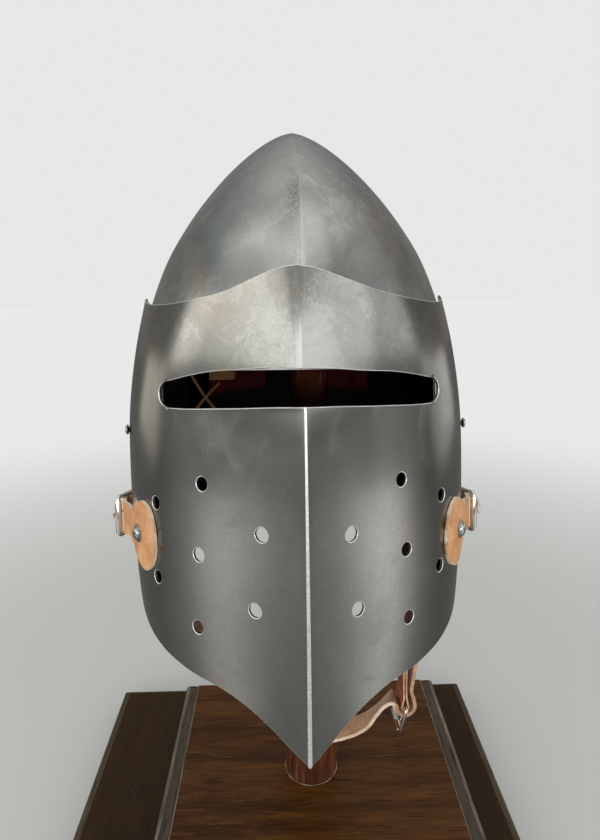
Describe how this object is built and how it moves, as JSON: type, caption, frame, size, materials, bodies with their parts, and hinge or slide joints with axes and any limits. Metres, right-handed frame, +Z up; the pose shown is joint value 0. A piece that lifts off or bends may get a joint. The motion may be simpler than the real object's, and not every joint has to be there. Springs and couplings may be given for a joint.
{
  "type": "bascinet on wooden stand",
  "caption": "Pointed bascinet with a keeled, pierced visor buckled at both sides and a leather chin strap, held on a wooden post and moulded base.",
  "frame": {"origin": "middle of the stand's underside, on the surface that it rests on", "axes": "+Z up, the visor's keel faces -Y, +X is on the right of someone who looks at the face"},
  "size_m": [0.341, 0.278, 0.5267],
  "materials": {
    "dark_wood": "dark stain under satin varnish",
    "brown_wood": "brown stain under satin varnish",
    "red_brown_wood": "red-brown varnish",
    "brushed_plate": "satin, lightly smudged",
    "dark_plate": "dark satin with polished edges",
    "steel_rivets": "satin",
    "nickel": "bright nickel plate",
    "tan_leather": "natural, raw cut edges",
    "dark_red_leather": "matt"
  },
  "bodies": {
    "root": {"stand_base": "dark_wood", "stand_panel": "brown_wood", "stand_post": "red_brown_wood", "skull": "brushed_plate", "visor": "dark_plate", "pivot_rivet_right": "steel_rivets", "pivot_rivet_left": "steel_rivets", "side_strap_right": "tan_leather", "side_strap_rivet_right": "steel_rivets", "side_chape_right": "tan_leather", "side_chape_rivet_right": "steel_rivets", "side_buckle_right": "nickel", "side_roller_right": "nickel", "side_prong_right": "nickel", "side_strap_left": "tan_leather", "side_strap_rivet_left": "steel_rivets", "side_chape_left": "tan_leather", "side_chape_rivet_left": "steel_rivets", "side_buckle_left": "nickel", "side_roller_left": "nickel", "side_prong_left": "nickel", "chin_strap": "tan_leather", "chin_chape": "tan_leather", "chin_buckle_frame": "nickel", "chin_roller_frame": "nickel", "chin_prong_frame": "nickel", "chin_rivet_right": "steel_rivets", "chin_rivet_left": "steel_rivets", "liner_left": "dark_red_leather", "liner_back_left": "dark_red_leather", "liner_back_right": "dark_red_leather", "liner_neck_right": "dark_red_leather", "liner_flap": "tan_leather", "liner_lace_1": "tan_leather", "liner_lace_2": "tan_leather"}
  },
  "joints": []
}
